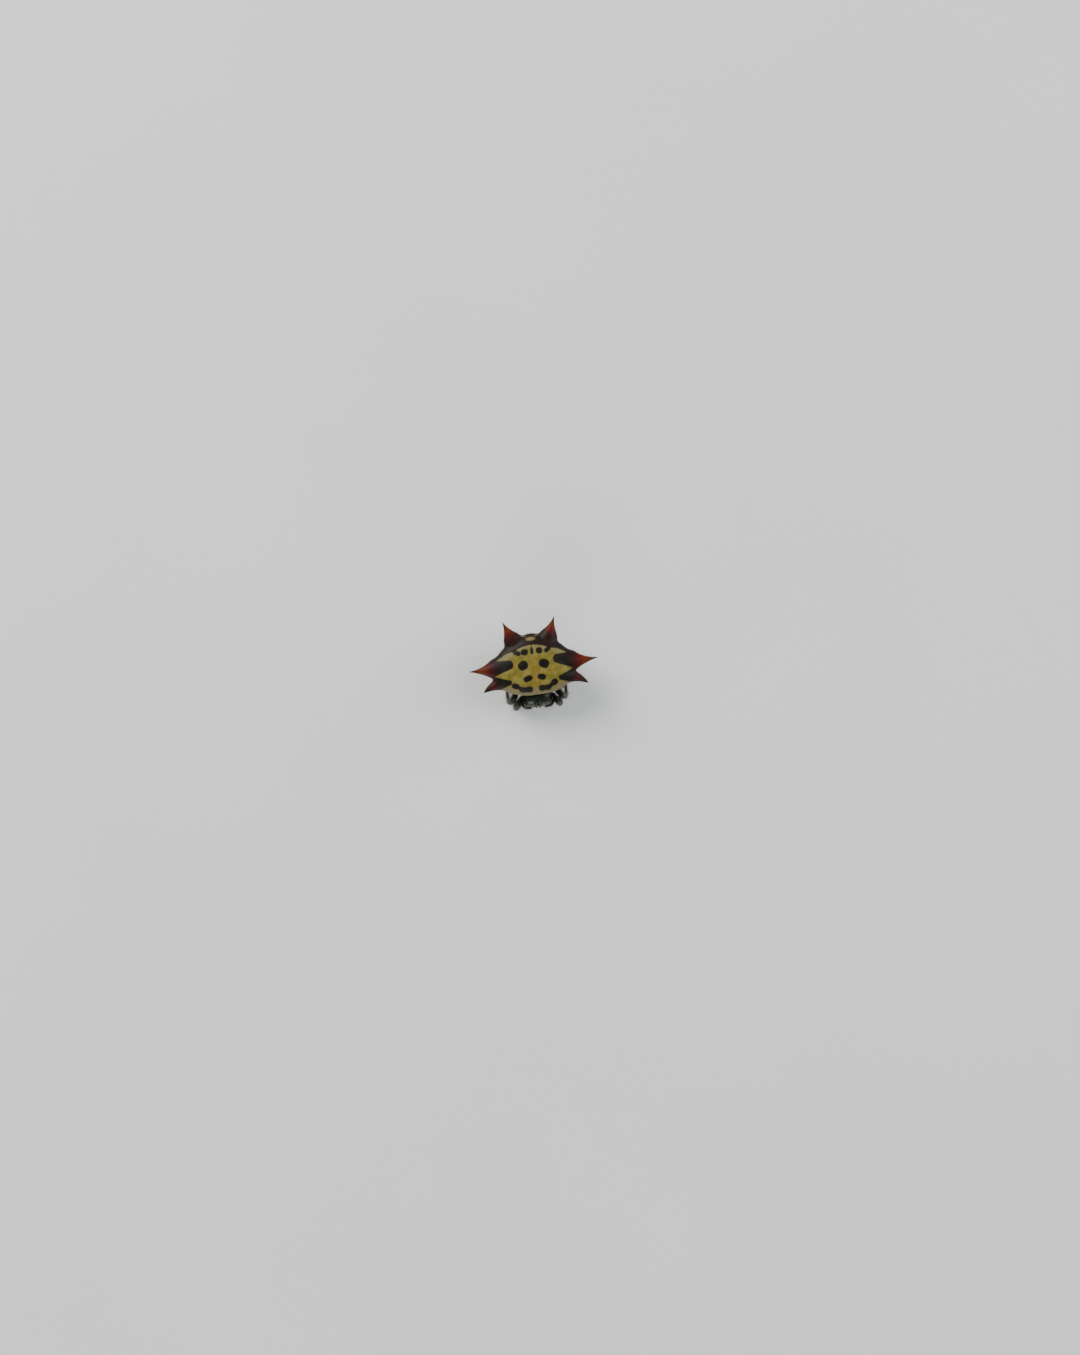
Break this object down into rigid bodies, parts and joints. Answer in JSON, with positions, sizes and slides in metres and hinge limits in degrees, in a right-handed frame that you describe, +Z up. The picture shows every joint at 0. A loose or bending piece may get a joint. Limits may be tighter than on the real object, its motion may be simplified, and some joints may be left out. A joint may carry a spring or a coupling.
{
  "type": "spiny orb weaver",
  "caption": "Life-size model of a spiny orb weaver spider with a wide yellow shield, red side and rear spines, dark head and short legs drawn in.",
  "frame": {"origin": "on the floor under the middle of the model's bounding box", "axes": "+Z up, +X to the spider's left, -Y towards its head"},
  "size_m": [0.0126, 0.0087, 0.0054],
  "materials": {
    "shield_cuticle": "semi-gloss",
    "dark_cuticle": "gloss",
    "leg_cuticle": "satin",
    "eye_lens": "gloss"
  },
  "bodies": {
    "root": {"abdomen": "shield_cuticle", "spinnerets": "shield_cuticle", "cephalothorax": "dark_cuticle", "chelicera_left": "dark_cuticle", "chelicera_right": "dark_cuticle", "pedipalp_left": "dark_cuticle", "pedipalp_right": "dark_cuticle", "leg_1_left": "leg_cuticle", "leg_1_right": "leg_cuticle", "leg_2_left": "leg_cuticle", "leg_2_right": "leg_cuticle", "leg_3_left": "leg_cuticle", "leg_3_right": "leg_cuticle", "leg_4_left": "leg_cuticle", "leg_4_right": "leg_cuticle", "eyes_median": "eye_lens", "eyes_left": "eye_lens", "eyes_right": "eye_lens"}
  },
  "joints": []
}
